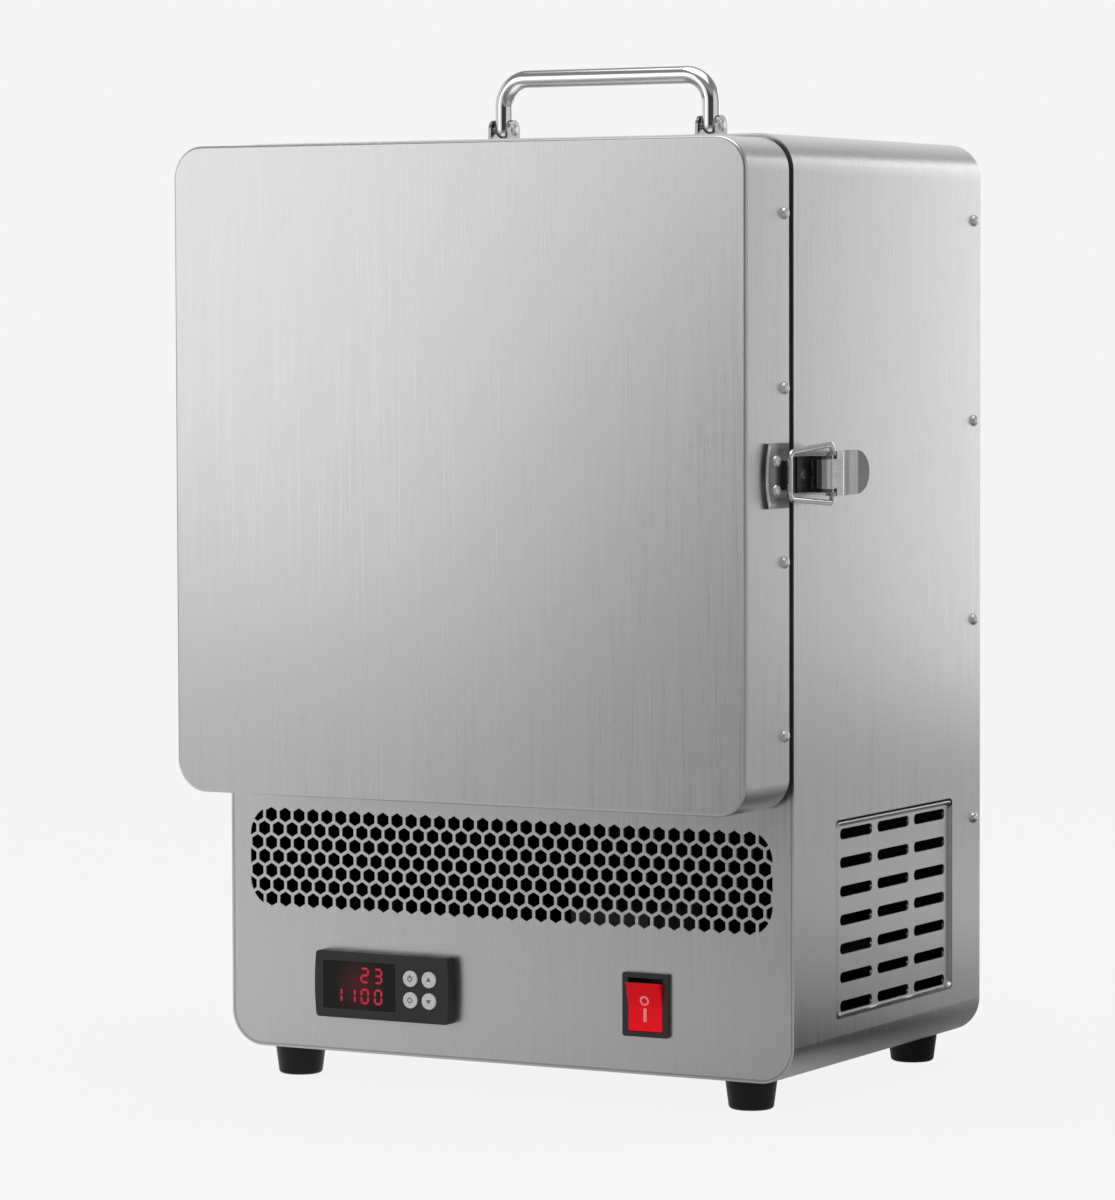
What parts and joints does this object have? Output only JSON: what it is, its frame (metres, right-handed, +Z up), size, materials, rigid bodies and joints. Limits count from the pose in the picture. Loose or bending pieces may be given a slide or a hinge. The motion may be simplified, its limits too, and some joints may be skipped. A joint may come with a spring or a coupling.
{
  "type": "bench-top muffle furnace",
  "caption": "Small upright stainless muffle furnace: side-hinged insulated door with toggle latch, fold-down carrying handle, honeycomb grille, controller and power switch below.",
  "frame": {"origin": "on the floor, under the middle of the footprint, which runs from the door's front to the casing's rear edge", "axes": "+Z up, -Y out of the door, +X towards the latch"},
  "size_m": [0.3385, 0.267, 0.512],
  "materials": {
    "stainless_casing": "brushed",
    "stainless_door": "brushed, grain up and down",
    "stainless_panels": "brushed",
    "zinc_sheet": "dulled zinc",
    "polished_steel": "polished",
    "latch_plates": "dark bright plating",
    "hinge_steel": "satin",
    "fasteners": "bright",
    "foot_rubber": "matt",
    "gasket_rubber": "matt",
    "refractory": "fibre board",
    "hearth": "matt",
    "bushing_ceramic": "unglazed",
    "heating_alloy": "oxidised",
    "control_black": "fine grain",
    "display": "smoked",
    "key_grey": "satin",
    "switch_black": "moulded",
    "rocker_red": "lit from inside",
    "contacts": "plain",
    "relay_case": "moulded",
    "sink_aluminium": "black anodised"
  },
  "bodies": {
    "cabinet": {"casing": "stainless_casing", "control_panel": "stainless_panels", "chamber_face_plate": "stainless_panels", "rear_panel": "stainless_panels", "vent_plate": "stainless_panels", "partition": "zinc_sheet", "handle_bracket_left": "polished_steel", "handle_bracket_right": "polished_steel", "latch_base": "latch_plates", "hinge_leaves_casing": "hinge_steel", "rear_panel_screws": "fasteners", "foot_screws": "fasteners", "foot_nuts": "fasteners", "bracket_screws": "fasteners", "handle_pins": "fasteners", "hinge_pins": "fasteners", "hinge_screws_casing": "fasteners", "latch_pin": "fasteners", "latch_rivets": "fasteners", "foot_front_left": "foot_rubber", "foot_front_right": "foot_rubber", "foot_rear_left": "foot_rubber", "foot_rear_right": "foot_rubber", "refractory_floor": "refractory", "refractory_roof": "refractory", "refractory_left": "refractory", "refractory_right": "refractory", "refractory_rear": "refractory", "hearth_plate": "hearth", "element_bushings": "bushing_ceramic", "heating_element_left": "heating_alloy", "heating_element_right": "heating_alloy", "thermocouple": "heating_alloy", "controller_bezel": "control_black", "controller_housing": "control_black", "controller_window": "display", "switch_housing": "switch_black", "mains_inlet": "switch_black", "switch_terminals": "contacts", "inlet_blades": "contacts", "power_relay": "relay_case", "heat_sink": "sink_aluminium"},
    "door": {"door_shell": "stainless_door", "door_liner": "stainless_panels", "door_insulation": "refractory", "door_gasket": "gasket_rubber", "door_screws": "fasteners", "hinge_leaves_door": "hinge_steel", "hinge_screws_door": "fasteners", "latch_keeper": "latch_plates", "keeper_rivets": "fasteners"},
    "handle": {"handle": "polished_steel"},
    "latch_lever": {"latch_lever": "polished_steel"},
    "latch_bail": {"latch_bail": "polished_steel"},
    "rocker": {"rocker": "rocker_red"},
    "key_1": {"key_1": "key_grey"},
    "key_2": {"key_2": "key_grey"},
    "key_3": {"key_3": "key_grey"},
    "key_4": {"key_4": "key_grey"}
  },
  "joints": [
    {"name": "door_hinge", "type": "hinge", "parent": "cabinet", "child": "door", "pos_m": [-0.1636, -0.0855, 0.3096], "axis": [0, 0, -1], "range_deg": [0, 180]},
    {"name": "handle_fold", "type": "hinge", "parent": "cabinet", "child": "handle", "pos_m": [0, 0.025, 0.4815], "axis": [1, 0, 0], "range_deg": [-90, 90]},
    {"name": "lever_swing", "type": "hinge", "parent": "cabinet", "child": "latch_lever", "pos_m": [0.167, -0.064, 0.3096], "axis": [0, 0, -1], "range_deg": [-6, 110]},
    {"name": "bail_swing", "type": "hinge", "parent": "latch_lever", "child": "latch_bail", "pos_m": [0.1678, -0.057, 0.3096], "axis": [0, 0, -1], "range_deg": [-165, 9]},
    {"name": "rocker_tip", "type": "hinge", "parent": "cabinet", "child": "rocker", "pos_m": [0.0799, -0.08, 0.0495], "axis": [-1, 0, 0], "range_deg": [0, 14]},
    {"name": "key_1_press", "type": "slide", "parent": "cabinet", "child": "key_1", "axis": [0, 1, 0], "range_m": [0, 0.0005], "stiffness_N_per_m": 800},
    {"name": "key_2_press", "type": "slide", "parent": "cabinet", "child": "key_2", "axis": [0, 1, 0], "range_m": [0, 0.0005], "stiffness_N_per_m": 800},
    {"name": "key_3_press", "type": "slide", "parent": "cabinet", "child": "key_3", "axis": [0, 1, 0], "range_m": [0, 0.0005], "stiffness_N_per_m": 800},
    {"name": "key_4_press", "type": "slide", "parent": "cabinet", "child": "key_4", "axis": [0, 1, 0], "range_m": [0, 0.0005], "stiffness_N_per_m": 800}
  ],
  "couplings": [
    {"joint": "bail_swing", "follows": "lever_swing", "ratio": -1.5}
  ]
}
